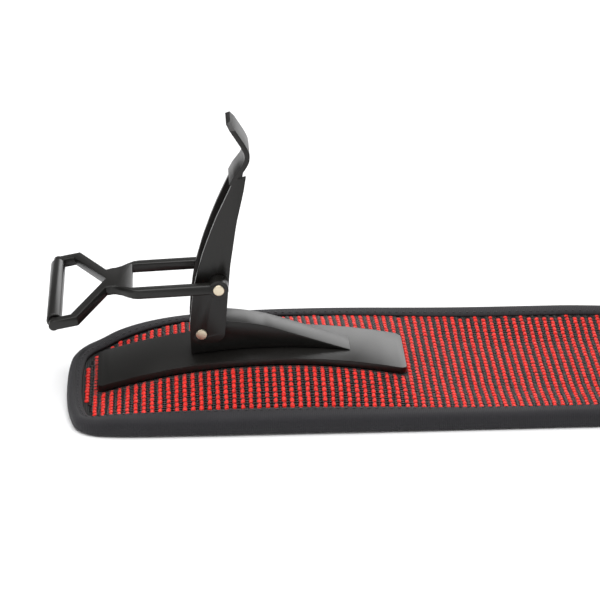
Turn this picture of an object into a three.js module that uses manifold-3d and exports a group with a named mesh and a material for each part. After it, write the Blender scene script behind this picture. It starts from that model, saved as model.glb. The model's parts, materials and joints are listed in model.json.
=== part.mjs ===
// A climbing skin with a front tension lever, lying with its traction side up.
// Units are millimetres, +Z is up. The skin runs along X with its tip end towards -X.
// Every piece is modelled with X = 0 on the lever's pivot, Y = 0 on the middle line and Z = 0 on
// the surface that the skin lies on. The last lines move the whole so that its origin is the
// centre of the bottom of its bounding box.
import * as THREE from 'three';
import { mergeVertices } from 'three/addons/utils/BufferGeometryUtils.js';
import Module from 'manifold-3d';

const wasm = await Module();
wasm.setup();

const GAP = 0.3; // clearance between touching pieces
const FIT = 0.2; // radial clearance of pins and screws in their holes

// Skin
const SKIN_WIDTH = 100;
const NOSE_X = -54; // outer edge of the tip end
const FLAT_END_X = 206; // where the flat stretch meets the roll
const BINDING_LAP = 8; // how far the tape reaches in from the side edges
const NOSE_LAP_LOSS = 2.2; // how much less it reaches in from the tip end
const TAPE_LOW = 0.6; // tape thickness below the fabric
const BACKING = 0.7; // backing film thickness
const SOLE = 1.2; // woven fabric thickness
const LAYER_GAP = 0.2;
const BACKING_Z = TAPE_LOW + GAP;
const SOLE_Z = BACKING_Z + BACKING + LAYER_GAP;
const SOLE_TOP = SOLE_Z + SOLE;
const RIM_WALL = 1.3; // tape thickness at the rim
const FABRIC_INSET = RIM_WALL + 2 * GAP;
const SIDE_COLUMNS = 7; // divisions of the fabric beside the plate
const EDGE_RISE = 2; // how much higher the fabric lies at its sides than in its middle
const FADE_X = 150; // where that starts to level out towards the roll

// Roll of the remaining length
const ROLL_X = 232;
const ROLL_RADIUS = 52;
const ROLL_CORE = 16;

// Arched plate and the fabric below it
const ARCH_RADIUS = 240;
const CROWN_X = 29.5;
const PLATE_FRONT_X = -42;
const PLATE_REAR_X = 82;
const PLATE_WIDTH = 32;
const PLATE_THICKNESS = 2.5;
const CROWN_TOP = 16.7; // top of the base plate at the crown
const CROWN_BOTTOM = CROWN_TOP - PLATE_THICKNESS;
const CROWN_GAP = 0.8; // room for the weave's loops below the plate
const FABRIC_CROWN = CROWN_BOTTOM - CROWN_GAP - SOLE_TOP; // lift of the skin's underside at the crown
const RISE_X = -38; // where the fabric joins the arch in front
const FALL_X = 80; // and where it leaves it behind
const UNDER_PLATE = { frontX: -20, rearX: 68, width: 28, thickness: 1.2 };

// Lever and its pivots
const DATUM_Z = 23.9; // level that the lever's and the block's outlines are measured from
const PIVOT_Z = DATUM_Z + 0.6;
const BAIL_PIVOT = { x: 7, z: DATUM_Z + 22.8 };
const BLOCK_WIDTH = 12.5;
const BLOCK_REAR_X = 61.5;
const CHEEK_THICKNESS = 1.8;
const LEVER_WIDTH = 16.7;
const CHEEK_INNER = LEVER_WIDTH / 2 - CHEEK_THICKNESS;
const TAB_THICKNESS = 2;
const SLOT_TOP = 64.4; // height of the slot's closed end above the datum
const TAB_TOP = 90.8; // height of the tab's end
const TAB_CORNER = 3.5; // size of its slanted corners
const PIN_RADIUS = 1.6;
const RIVET_HEAD_RADIUS = 2.3;
const RIVET_HEAD = 0.5;
const BAIL_PIN_RADIUS = 1.3;

// Bail
const ARM = 4; // square section of the arms
const ARM_Y = 12.9;
const BOSS_RADIUS = 3.9;
const BOSS_INNER_Y = LEVER_WIDTH / 2 + GAP;
const BOSS_OUTER_Y = ARM_Y + ARM / 2;
const GUSSET_REAR_X = -34;
const WAIST = { x: -44.6, y: 8.7 }; // where the arms' outer edges are nearest to each other
const BAIL_CORNER = { x: -57.2, y: 29.2 };
const ROD_X = -65.3;
const ROD_RADIUS = 1.75;
const SLEEVE = { inner: 2.05, outer: 3, length: 53 };
const BAIL_DROOP = 2.5; // degrees that the arms hang below level
const BAIL_BEND = { x: -42, angle: 8.5 }; // the front of the bail is bent down by this many degrees

// Screws
const SCREW_RADIUS = 1.4;
const SCREW_HEAD_RADIUS = 2.4;
const SCREW_HEAD = 1;
const BLIND_SKIN = 0.7; // metal left above a blind hole

const rad = THREE.MathUtils.degToRad;
const smooth = THREE.MathUtils.smoothstep;

// ---------- solids ----------

function toManifold(geometry) {
  const bare = geometry.clone();
  for (const name of Object.keys(bare.attributes)) {
    if (name !== 'position') bare.deleteAttribute(name);
  }
  const merged = mergeVertices(bare, 1e-4);
  const vertProperties = new Float32Array(merged.attributes.position.array);
  const triVerts = new Uint32Array(merged.index.array);
  return new wasm.Manifold(new wasm.Mesh({ numProp: 3, vertProperties, triVerts }));
}

function fromManifold(solid) {
  const mesh = solid.getMesh();
  const geometry = new THREE.BufferGeometry();
  geometry.setAttribute('position', new THREE.BufferAttribute(mesh.vertProperties, 3));
  geometry.setIndex(new THREE.BufferAttribute(mesh.triVerts, 1));
  geometry.computeVertexNormals();
  return geometry;
}

function cut(geometry, ...tools) {
  return fromManifold(tools.reduce((solid, tool) => solid.subtract(toManifold(tool)), toManifold(geometry)));
}

function join(geometry, ...others) {
  return fromManifold(others.reduce((solid, other) => solid.add(toManifold(other)), toManifold(geometry)));
}

function common(geometry, other) {
  return fromManifold(toManifold(geometry).intersect(toManifold(other)));
}

// A cylinder along Y from y0 to y1 with its axis at (x, z).
function cylinderY(radius, y0, y1, x, z, sides = 24) {
  return new THREE.CylinderGeometry(radius, radius, y1 - y0, sides).translate(x, (y0 + y1) / 2, z);
}

// A solid of revolution about Y, from [radius, y] points that start and end on the axis.
function turnedY(points, x, z, sides = 24) {
  const profile = points.map(([r, y]) => new THREE.Vector2(r, y));
  return new THREE.LatheGeometry(profile, sides).translate(x, 0, z);
}

// A side outline in X and Z, given as a Shape, made solid from y0 to y1.
function sideExtrude(shape, y0, y1, options = {}) {
  const settings = { depth: y1 - y0, bevelEnabled: false, curveSegments: 10, ...options };
  return new THREE.ExtrudeGeometry(shape, settings).rotateX(Math.PI / 2).translate(0, y1, 0);
}

function roundedRectangle(x0, y0, x1, y1, radius) {
  const shape = new THREE.Shape();
  shape.moveTo(x0 + radius, y0);
  shape.lineTo(x1 - radius, y0);
  shape.absarc(x1 - radius, y0 + radius, radius, -Math.PI / 2, 0);
  shape.lineTo(x1, y1 - radius);
  shape.absarc(x1 - radius, y1 - radius, radius, 0, Math.PI / 2);
  shape.lineTo(x0 + radius, y1);
  shape.absarc(x0 + radius, y1 - radius, radius, Math.PI / 2, Math.PI);
  shape.lineTo(x0, y0 + radius);
  shape.absarc(x0 + radius, y0 + radius, radius, Math.PI, 1.5 * Math.PI);
  return shape;
}

// A closed solid from rings of [x, y, z] points, all with the same number of points. Its ends face
// along X. Each quad is split along its higher diagonal, so that stacked layers stay parallel.
function ringSolid(rings) {
  const count = rings[0].length;
  const index = [];
  for (let i = 0; i + 1 < rings.length; i += 1) {
    for (let j = 0; j < count; j += 1) {
      const next = (j + 1) % count;
      const a = i * count + j;
      const b = i * count + next;
      const across = rings[i + 1][j][2] + rings[i][next][2] - rings[i][j][2] - rings[i + 1][next][2];
      if (across >= 0) index.push(a, a + count, b, b, a + count, b + count);
      else index.push(a, a + count, b + count, a, b + count, b);
    }
  }
  addCap(index, rings[0], 0, 1);
  addCap(index, rings.at(-1), (rings.length - 1) * count, -1);
  const geometry = new THREE.BufferGeometry();
  geometry.setAttribute('position', new THREE.Float32BufferAttribute(rings.flat(2), 3));
  geometry.setIndex(index);
  return outward(geometry);
}

// Fills an end ring. The fill winds with the ring where turn is 1 and against it where it is -1.
function addCap(index, ring, start, turn) {
  const outline = ring.map(([, y, z]) => new THREE.Vector2(y, z));
  const wanted = Math.sign(THREE.ShapeUtils.area(outline)) * turn;
  for (const [a, b, c] of THREE.ShapeUtils.triangulateShape(outline, [])) {
    const winding = Math.sign(THREE.ShapeUtils.area([outline[a], outline[b], outline[c]]));
    if (winding === wanted) index.push(start + a, start + b, start + c);
    else index.push(start + a, start + c, start + b);
  }
}

// Turns a closed geometry's faces outwards if its signed volume is negative.
function outward(geometry) {
  const p = geometry.attributes.position;
  const index = geometry.index.array;
  const [a, b, c] = [new THREE.Vector3(), new THREE.Vector3(), new THREE.Vector3()];
  let volume = 0;
  for (let i = 0; i < index.length; i += 3) {
    a.fromBufferAttribute(p, index[i]);
    b.fromBufferAttribute(p, index[i + 1]);
    c.fromBufferAttribute(p, index[i + 2]);
    volume += a.dot(b.cross(c));
  }
  if (volume < 0) {
    for (let i = 0; i < index.length; i += 3) {
      [index[i], index[i + 1]] = [index[i + 1], index[i]];
    }
  }
  geometry.computeVertexNormals();
  return geometry;
}

// ---------- shape of the lying skin ----------

// Height of an arc that has the plate's curve and its top at the given level.
function archHeight(x, top) {
  return top - (ARCH_RADIUS - Math.sqrt(ARCH_RADIUS ** 2 - (x - CROWN_X) ** 2));
}

// Lift of the middle of the skin: on the arch between RISE_X and FALL_X, and tangent curves down
// to the surface on both sides.
function middleLift(x) {
  const joinX = x < CROWN_X ? RISE_X : FALL_X;
  const beyond = (x - joinX) * Math.sign(joinX - CROWN_X);
  if (beyond <= 0) return archHeight(x, FABRIC_CROWN);
  const height = archHeight(joinX, FABRIC_CROWN);
  const slope = Math.abs(joinX - CROWN_X) / ARCH_RADIUS;
  const run = (2 * height) / slope;
  return height * Math.max(0, 1 - beyond / run) ** 2;
}

// Lift of the tape's underside. Beside the plate the skin droops towards its edges.
function lowLift(x, y) {
  const atEdge = y > 0 ? 0.12 : 0.03;
  const side = smooth(Math.abs(y), PLATE_WIDTH / 2, SKIN_WIDTH / 2);
  return middleLift(x) * (1 - (1 - atEdge) * side);
}

// Lift of the fabric, which lies a little higher at its sides, where the tape below it is folded.
function lift(x, y) {
  const stretch = smooth(x, -52, -34) * (1 - smooth(x, FADE_X, FLAT_END_X));
  return lowLift(x, y) + EDGE_RISE * smooth(Math.abs(y), 18, 42) * stretch;
}

// Outer edge of the flat stretch seen from above, from the far side round the tip to the near side.
function edgeCurve() {
  const half = SKIN_WIDTH / 2;
  const points = [
    [FLAT_END_X, half], [120, half], [46, half], [20, 49], [-6, 45.6], [-27, 37.8], [-41, 30.4], [-47.5, 25.2],
    [-52, 17.5], [NOSE_X + 0.3, 8], [NOSE_X - 0.3, -6], [NOSE_X, -22], [-52.6, -34], [-50, -42.2],
    [-44, -47], [-34, -48.8], [-6, -49.7], [46, -half], [120, -half], [FLAT_END_X, -half],
  ];
  return new THREE.CatmullRomCurve3(points.map(([x, y]) => new THREE.Vector3(x, y, 0)), false, 'centripetal');
}

// Stations along the edge: a point and the direction that points into the skin.
function edgeStations(steps) {
  const curve = edgeCurve();
  curve.arcLengthDivisions = 1000;
  const stations = [];
  for (let i = 0; i <= steps; i += 1) {
    const point = curve.getPointAt(i / steps);
    const along = i === 0 || i === steps ? new THREE.Vector3(i === 0 ? -1 : 1, 0, 0) : curve.getTangentAt(i / steps);
    stations.push({ point, inward: new THREE.Vector3(-along.y, along.x, 0) });
  }
  return stations;
}

// The edge moved inwards, as [x, y] points.
function insetEdge(inset, steps) {
  return edgeStations(steps).map(({ point, inward }) => [
    point.x + inward.x * inset,
    point.y + inward.y * inset,
  ]);
}

// Where a polyline crosses a given x, on the side that sign names.
function crossing(polyline, x, sign) {
  for (let i = 0; i + 1 < polyline.length; i += 1) {
    const [ax, ay] = polyline[i];
    const [bx, by] = polyline[i + 1];
    if (ay * sign >= 0 && by * sign >= 0 && (ax - x) * (bx - x) <= 0 && ax !== bx) {
      return ay + ((by - ay) * (x - ax)) / (bx - ax);
    }
  }
  throw new Error(`the edge has no crossing at x = ${x}`);
}

// A layer of fabric of even thickness that follows the skin's lift.
function fabricLayer(inset, bottom, thickness) {
  const edge = insetEdge(inset, 260);
  const firstX = Math.min(...edge.map(([x]) => x)) + 0.3;
  const steps = [0, 1, 2.5, 4, 6, 8, 10, 12, 14, 16, 18, 20];
  for (let x = 24; firstX + x < 112; x += 9) steps.push(x);
  const fade = Array.from({ length: 9 }, (_, i) => THREE.MathUtils.lerp(FADE_X, FLAT_END_X, i / 8));
  const stations = [...steps.map((step) => firstX + step), 128, ...fade];
  const besidePlate = PLATE_WIDTH / 2 + 1;
  const divisions = Array.from({ length: SIDE_COLUMNS }, (_, i) => i / SIDE_COLUMNS);
  const rings = stations.map((x) => {
    const near = crossing(edge, x, -1);
    const far = crossing(edge, x, 1);
    const innerNear = Math.max(-besidePlate, near * 0.7);
    const innerFar = Math.min(besidePlate, far * 0.7);
    const nearSide = divisions.map((t) => THREE.MathUtils.lerp(near, innerNear, t));
    const farSide = divisions.map((t) => THREE.MathUtils.lerp(far, innerFar, t)).reverse();
    const ys = [...nearSide, innerNear, 0, innerFar, ...farSide];
    const top = ys.map((y) => [x, y, lift(x, y) + bottom + thickness]);
    const low = ys.map((y) => [x, y, lift(x, y) + bottom]).reverse();
    return [...low, ...top];
  });
  return ringSolid(rings);
}

// ---------- soft pieces ----------

function edgeBinding() {
  const top = SOLE_TOP + LAYER_GAP;
  const rings = edgeStations(96).map(({ point, inward }) => {
    const lap = BINDING_LAP - NOSE_LAP_LOSS * Math.abs(inward.x);
    const place = (rise) => ([inset, z]) => {
      const x = point.x + inward.x * inset;
      const y = point.y + inward.y * inset;
      return [x, y, rise(x, y) + z];
    };
    const low = [[0, 1.4], [1.2, 0], [lap, 0]];
    const high = [
      [lap, TAPE_LOW], [RIM_WALL, TAPE_LOW], [RIM_WALL, top], [lap, top], [lap, top + 1], [lap - 1.4, top + 1.5],
      [3, top + 1.9], [1.2, top + 1.5], [0.1, top + 0.3],
    ];
    return [...low.map(place(lowLift)), ...high.map(place(lift))];
  });
  return ringSolid(rings);
}

function rolledLength() {
  const half = SKIN_WIDTH / 2;
  const round = 1.5;
  const points = [
    [ROLL_CORE, -half], [ROLL_RADIUS - round, -half], [ROLL_RADIUS, -half + round],
    [ROLL_RADIUS, half - round], [ROLL_RADIUS - round, half], [ROLL_CORE, half], [ROLL_CORE, -half],
  ];
  return turnedY(points, 0, 0, 48);
}

// An arc band about Y between two radii, from one angle to another, as wide as given.
function arcBand(inner, outer, from, to, width) {
  const shape = new THREE.Shape();
  shape.absarc(0, 0, outer, rad(from), rad(to), false);
  shape.absarc(0, 0, inner, rad(to), rad(from), true);
  return sideExtrude(shape, -width / 2, width / 2, { curveSegments: 20 });
}

const STRAP = { inner: 13.6, outer: ROLL_CORE - GAP, from: -80, to: 150, width: 25 };
const HOOK = { thickness: 1.8, from: 70, to: 148, width: 22 };
const TAIL_RIVET = { angle: 118, y: 6.5, radius: 1.5, head: 0.6, headRadius: 2.6 };

// Turns a piece that stands along +Y at the roll's centre to point at the tail rivets.
function towardsTailRivets(geometry) {
  return geometry.rotateX(Math.PI / 2).rotateY(rad(90 - TAIL_RIVET.angle));
}

function tailRivetHole(y) {
  const radius = TAIL_RIVET.radius + FIT;
  const hole = new THREE.CylinderGeometry(radius, radius, ROLL_CORE, 16).translate(0, ROLL_CORE, 0);
  return towardsTailRivets(hole).translate(0, y, 0);
}

function tailStrap() {
  const band = arcBand(STRAP.inner, STRAP.outer, STRAP.from, STRAP.to, STRAP.width);
  return cut(band, tailRivetHole(-TAIL_RIVET.y), tailRivetHole(TAIL_RIVET.y));
}

// A steel strip that follows the strap, with a small hook curled inwards at its free end.
function tailHook() {
  const outer = STRAP.inner - GAP;
  const inner = outer - HOOK.thickness;
  const curl = 3.4;
  const shape = new THREE.Shape();
  shape.absarc(0, 0, outer, rad(HOOK.from), rad(HOOK.to), false);
  shape.absarc(0, 0, inner, rad(HOOK.to), rad(HOOK.from), true);
  const centre = outer - curl;
  shape.absarc(centre * Math.cos(rad(HOOK.from)), centre * Math.sin(rad(HOOK.from)),
    curl - HOOK.thickness, rad(HOOK.from), rad(HOOK.from - 170), true);
  shape.absarc(centre * Math.cos(rad(HOOK.from)), centre * Math.sin(rad(HOOK.from)),
    curl, rad(HOOK.from - 170), rad(HOOK.from), false);
  const strip = sideExtrude(shape, -HOOK.width / 2, HOOK.width / 2, { curveSegments: 14 });
  return cut(strip, tailRivetHole(-TAIL_RIVET.y), tailRivetHole(TAIL_RIVET.y));
}

function tailRivet() {
  const { radius, head, headRadius } = TAIL_RIVET;
  const top = STRAP.outer - FIT;
  const face = STRAP.inner - GAP - HOOK.thickness - 2 * GAP;
  const points = [[0, face - head], [headRadius - 0.4, face - head], [headRadius, face], [radius, face],
    [radius, top], [0, top]];
  const profile = points.map(([r, y]) => new THREE.Vector2(r, y));
  return towardsTailRivets(new THREE.LatheGeometry(profile, 16));
}

// ---------- plates and screws ----------

// An arched strip: a side profile between two arcs, trimmed to a rounded rectangle from above.
function archedStrip(frontX, rearX, width, top, thickness, corner) {
  const steps = 22;
  const xs = Array.from({ length: steps + 1 }, (_, i) => THREE.MathUtils.lerp(frontX - 1, rearX + 1, i / steps));
  const side = new THREE.Shape();
  side.moveTo(xs[0], archHeight(xs[0], top));
  xs.forEach((x) => side.lineTo(x, archHeight(x, top)));
  xs.reverse().forEach((x) => side.lineTo(x, archHeight(x, top - thickness)));
  const strip = sideExtrude(side, -width / 2 - 1, width / 2 + 1);
  const plan = roundedRectangle(frontX, -width / 2, rearX, width / 2, corner);
  const column = new THREE.ExtrudeGeometry(plan, { depth: 60, bevelEnabled: false, curveSegments: 5 });
  return common(strip, column.translate(0, 0, -20));
}

const PLATE_SCREWS = [
  { name: 'plate_screw_front_near', x: -14, y: -10 },
  { name: 'plate_screw_front_far', x: -14, y: 10 },
  { name: 'plate_screw_rear_near', x: 62, y: -10 },
  { name: 'plate_screw_rear_far', x: 62, y: 10 },
];
const BLOCK_SCREWS = [
  { name: 'block_screw_front', x: 10, y: 0 },
  { name: 'block_screw_rear', x: 36, y: 0 },
];

// Moves a piece that is modelled at the crown, along the normal there, to another place on the arch.
function placeOnArch(geometry, x, y) {
  const tilt = Math.asin((x - CROWN_X) / ARCH_RADIUS);
  const centreZ = CROWN_TOP - ARCH_RADIUS;
  return geometry.translate(0, 0, -centreZ).rotateY(tilt).translate(CROWN_X, y, centreZ);
}

// A screw with a countersunk head that faces down, from the head's underside up to its tip.
function screwShape(headZ, tipZ, clearance) {
  const r = SCREW_RADIUS + clearance;
  const head = SCREW_HEAD_RADIUS + clearance;
  const points = [[0, headZ], [head, headZ], [r, headZ + SCREW_HEAD], [r, tipZ], [0, tipZ]];
  const profile = points.map(([x, z]) => new THREE.Vector2(x, z));
  return new THREE.LatheGeometry(profile, 16).rotateX(Math.PI / 2);
}

const UNDER_PLATE_TOP = FABRIC_CROWN + BACKING_Z - GAP;
const PLATE_SCREW_HEAD_Z = UNDER_PLATE_TOP - UNDER_PLATE.thickness;
const PLATE_SCREW_TIP_Z = CROWN_TOP - BLIND_SKIN - GAP;
const BLOCK_SCREW_HEAD_Z = CROWN_BOTTOM;
const BLOCK_SCREW_TIP_Z = CROWN_TOP + 4;

function screw(spot, headZ, tipZ) {
  return placeOnArch(screwShape(headZ, tipZ, 0), spot.x, spot.y);
}

// The hole for a screw, open below its head and a little deeper than its tip.
function screwHole(spot, headZ, tipZ) {
  const below = 3;
  const r = SCREW_RADIUS + FIT;
  const head = SCREW_HEAD_RADIUS + FIT;
  const points = [[0, headZ - below], [head, headZ - below], [head, headZ], [r, headZ + SCREW_HEAD],
    [r, tipZ + GAP], [0, tipZ + GAP]];
  const profile = points.map(([x, z]) => new THREE.Vector2(x, z));
  return placeOnArch(new THREE.LatheGeometry(profile, 16).rotateX(Math.PI / 2), spot.x, spot.y);
}

// A plain hole for a screw's shank through the fabric.
function shankHole(spot) {
  const r = SCREW_RADIUS + GAP;
  const hole = new THREE.CylinderGeometry(r, r, 20, 12).rotateX(Math.PI / 2).translate(0, 0, CROWN_BOTTOM);
  return placeOnArch(hole, spot.x, spot.y);
}

function basePlate() {
  const strip = archedStrip(PLATE_FRONT_X, PLATE_REAR_X, PLATE_WIDTH, CROWN_TOP, PLATE_THICKNESS, 3);
  const blind = PLATE_SCREWS.map((spot) => {
    const r = SCREW_RADIUS + FIT;
    const depth = PLATE_SCREW_TIP_Z + GAP - CROWN_BOTTOM + 2;
    const hole = new THREE.CylinderGeometry(r, r, depth, 16).rotateX(Math.PI / 2);
    return placeOnArch(hole.translate(0, 0, PLATE_SCREW_TIP_Z + GAP - depth / 2), spot.x, spot.y);
  });
  const through = BLOCK_SCREWS.map((spot) => screwHole(spot, BLOCK_SCREW_HEAD_Z, BLOCK_SCREW_TIP_Z));
  return cut(strip, ...blind, ...through);
}

function underPlate() {
  const { frontX, rearX, width, thickness } = UNDER_PLATE;
  const strip = archedStrip(frontX, rearX, width, UNDER_PLATE_TOP, thickness, 4);
  return cut(strip, ...PLATE_SCREWS.map((spot) => screwHole(spot, PLATE_SCREW_HEAD_Z, PLATE_SCREW_TIP_Z)));
}

function soleFabric() {
  return cut(fabricLayer(FABRIC_INSET, SOLE_Z, SOLE), ...PLATE_SCREWS.map(shankHole));
}

function backingFabric() {
  return cut(fabricLayer(FABRIC_INSET, BACKING_Z, BACKING), ...PLATE_SCREWS.map(shankHole));
}

// ---------- block, lever and bail ----------

// The wedge that the lever straddles: round about the pivot and curved down to its rear toe.
function rampBlock() {
  const side = new THREE.Shape();
  side.moveTo(-4, DATUM_Z - 14);
  side.lineTo(-4.6, DATUM_Z);
  side.absarc(0.6, DATUM_Z, 5.2, Math.PI, Math.PI * 0.45, true);
  side.splineThru([[10, 5.2], [17.5, 4.4], [25, 2.9], [31.5, 1], [38.5, -1.4], [45.5, -3.9], [52, -6.1],
    [57, -7.8], [BLOCK_REAR_X, -9.4]].map(([x, z]) => new THREE.Vector2(x, DATUM_Z + z)));
  side.lineTo(BLOCK_REAR_X, DATUM_Z - 14);
  side.closePath();
  const body = sideExtrude(side, -BLOCK_WIDTH / 2, BLOCK_WIDTH / 2, { curveSegments: 4 });
  const below = archedStrip(-20, 75, 30, CROWN_TOP + GAP, 12, 2);
  const pinHole = cylinderY(PIN_RADIUS + FIT, -20, 20, 0, PIVOT_Z);
  return cut(body, below, pinHole, ...BLOCK_SCREWS.map((spot) => screwHole(spot, BLOCK_SCREW_HEAD_Z, BLOCK_SCREW_TIP_Z)));
}

// Side outline of a cheek: front edge up, back edge down. Heights are above the datum.
function cheekShape() {
  const front = [[-4.5, 4], [-3.6, 14.7], [-2.2, 23.7], [0.4, 33.7], [3.5, 43], [7, 52], [11.3, 61.5], [13.6, 66.5]];
  const notch = [18.3, 67.8];
  const back = [[17.2, 61], [14.8, 50], [13.2, 40], [11.7, 28.9], [10.6, 14.7], [9.7, 4]];
  const asVectors = (points) => points.map(([x, z]) => new THREE.Vector2(x, z));
  const shape = new THREE.Shape();
  shape.moveTo(-1, -3.7);
  shape.absarc(-1, -0.5, 3.2, -Math.PI / 2, -Math.PI, true);
  shape.splineThru(asVectors(front));
  shape.lineTo(...notch);
  shape.splineThru(asVectors(back));
  shape.absarc(5, 1.2, 4.4, 0, -Math.PI / 2, true);
  shape.closePath();
  return shape;
}

// The curled sheet that joins the cheeks above the slot and ends in the finger tab.
function tabShape() {
  const middle = new THREE.SplineCurve([[12.6, SLOT_TOP], [14.6, 68], [17.4, 71.8], [18.85, 75.4], [17.9, 79.6], [11.7, 89.8]]
    .map(([x, z]) => new THREE.Vector2(x, z)));
  const steps = 18;
  const left = [];
  const right = [];
  for (let i = 0; i <= steps; i += 1) {
    const point = middle.getPoint(i / steps);
    const along = middle.getTangent(i / steps);
    left.push([point.x - (along.y * TAB_THICKNESS) / 2, point.y + (along.x * TAB_THICKNESS) / 2]);
    right.push([point.x + (along.y * TAB_THICKNESS) / 2, point.y - (along.x * TAB_THICKNESS) / 2]);
  }
  return new THREE.Shape([...left, ...right.reverse()].map(([x, z]) => new THREE.Vector2(x, z)));
}

function lever() {
  const half = LEVER_WIDTH / 2;
  const near = sideExtrude(cheekShape(), -half, -CHEEK_INNER, { curveSegments: 6 });
  const far = sideExtrude(cheekShape(), CHEEK_INNER, half, { curveSegments: 6 });
  const tab = sideExtrude(tabShape(), -half, half);
  const low = SLOT_TOP - 20;
  const slanted = half - TAB_CORNER;
  const frontal = new THREE.Shape([[low, -half], [TAB_TOP - TAB_CORNER, -half], [TAB_TOP, -slanted],
    [TAB_TOP, slanted], [TAB_TOP - TAB_CORNER, half], [low, half]].map(([z, y]) => new THREE.Vector2(z, y)));
  const trim = new THREE.ExtrudeGeometry(frontal, { depth: 60, bevelEnabled: false });
  const trimmed = common(tab, trim.rotateY(-Math.PI / 2).translate(40, 0, 0));
  const placed = join(near, far, trimmed).translate(0, 0, DATUM_Z);
  const pivotHole = cylinderY(PIN_RADIUS + FIT, -20, 20, 0, PIVOT_Z);
  const bailHole = cylinderY(BAIL_PIN_RADIUS + FIT, -20, 20, BAIL_PIVOT.x, BAIL_PIVOT.z);
  return cut(placed, pivotHole, bailHole);
}

function leverPin() {
  const face = LEVER_WIDTH / 2 + FIT;
  const end = face + RIVET_HEAD;
  const points = [[0, -end], [RIVET_HEAD_RADIUS - 0.2, -end], [RIVET_HEAD_RADIUS, -face], [PIN_RADIUS, -face],
    [PIN_RADIUS, face], [RIVET_HEAD_RADIUS, face], [RIVET_HEAD_RADIUS - 0.2, end], [0, end]];
  return turnedY(points, 0, 0);
}

// A short rivet from inside one cheek, out through the bail's boss. side is -1 near, 1 far.
function bailRivet(side) {
  const start = CHEEK_INNER + 0.1;
  const face = BOSS_OUTER_Y + FIT;
  const points = [[0, start], [BAIL_PIN_RADIUS, start], [BAIL_PIN_RADIUS, face], [RIVET_HEAD_RADIUS, face],
    [RIVET_HEAD_RADIUS - 0.2, face + RIVET_HEAD], [0, face + RIVET_HEAD]];
  const rivet = turnedY(points, 0, 0);
  return side < 0 ? rivet.rotateX(Math.PI) : rivet;
}

// Outline of the bail before it is bent, about its pivot, with its front end towards -X.
function bailPlan() {
  const half = ARM / 2;
  const inner = ARM_Y - half;
  const outer = ARM_Y + half;
  const halfSide = [
    [0, outer], [-31.5, outer], [-33.8, outer - 0.6], [-36.2, 12.5], [-38.4, 10.4], [-40.8, 9.1],
    [WAIST.x, WAIST.y], [BAIL_CORNER.x + 1.4, BAIL_CORNER.y + half], [ROD_X, BAIL_CORNER.y + half],
    [ROD_X, BAIL_CORNER.y - half], [BAIL_CORNER.x - 1.2, BAIL_CORNER.y - half], [WAIST.x - 0.2, 0],
  ];
  const otherSide = [...halfSide].reverse().slice(1).map(([x, y]) => [x, -y]);
  const window = [[0, -inner], [GUSSET_REAR_X, -inner], [GUSSET_REAR_X, inner], [0, inner]];
  return new THREE.Shape([...halfSide, ...otherSide, ...window].map(([x, y]) => new THREE.Vector2(x, y)));
}

// Turns what lies in front of the bend down about the bend's upper side.
function bent(geometry) {
  return geometry.translate(-BAIL_BEND.x, 0, -ARM / 2).rotateY(-rad(BAIL_BEND.angle)).translate(BAIL_BEND.x, 0, ARM / 2);
}

function bailFrame() {
  const bevel = 0.6;
  const thickness = ARM - 2 * bevel;
  const settings = { depth: thickness, bevelThickness: bevel, bevelSize: bevel, bevelOffset: -bevel, bevelSegments: 2 };
  const plan = new THREE.ExtrudeGeometry(bailPlan(), settings).translate(0, 0, -thickness / 2);
  const whole = join(plan, cylinderY(ROD_RADIUS, -BAIL_CORNER.y, BAIL_CORNER.y, ROD_X, 0), ...[-1, 1].map((side) => (
    cylinderY(ARM / 2, side * BAIL_CORNER.y - ARM / 2, side * BAIL_CORNER.y + ARM / 2, ROD_X, 0))));
  const behindBend = new THREE.BoxGeometry(100, 100, 20).translate(BAIL_BEND.x + 50, 0, 0);
  const beforeBend = new THREE.BoxGeometry(100, 100, 20).translate(BAIL_BEND.x - 50, 0, 0);
  const bosses = [-1, 1].map((side) => {
    const ends = [side * BOSS_INNER_Y, side * BOSS_OUTER_Y].sort((a, b) => a - b);
    return cylinderY(BOSS_RADIUS, ends[0], ends[1], 0, 0, 32);
  });
  const solid = join(common(whole, behindBend), bent(common(whole, beforeBend)), ...bosses);
  return cut(solid, cylinderY(BAIL_PIN_RADIUS + FIT, -20, 20, 0, 0));
}

// The rod's middle in the bent frame.
function rodCentre() {
  const angle = rad(BAIL_BEND.angle);
  const reach = ROD_X - BAIL_BEND.x;
  const down = -ARM / 2;
  return new THREE.Vector3(
    BAIL_BEND.x + reach * Math.cos(angle) - down * Math.sin(angle),
    0,
    ARM / 2 + reach * Math.sin(angle) + down * Math.cos(angle),
  );
}

function barSleeve() {
  const { inner, outer, length } = SLEEVE;
  const round = 0.3;
  const points = [[inner, -length / 2], [outer - round, -length / 2], [outer, -length / 2 + round],
    [outer, length / 2 - round], [outer - round, length / 2], [inner, length / 2], [inner, -length / 2]];
  return turnedY(points, 0, 0);
}

// ---------- the assembly ----------

const finishes = {
  fabric: { color: 0xd8322c, roughness: 0.85, metalness: 0 },
  backing: { color: 0x1d1c1f, roughness: 0.5, metalness: 0 },
  tape: { color: 0x37343a, roughness: 0.9, metalness: 0 },
  satinBlack: { color: 0x2b2a28, roughness: 0.38, metalness: 0.6 },
  nickel: { color: 0xdacda8, roughness: 0.3, metalness: 1 },
  steel: { color: 0x9a9a9c, roughness: 0.35, metalness: 1 },
};

function piece(name, geometry, finish) {
  const mesh = new THREE.Mesh(geometry, new THREE.MeshStandardMaterial(finishes[finish]));
  mesh.name = name;
  return mesh;
}

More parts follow.
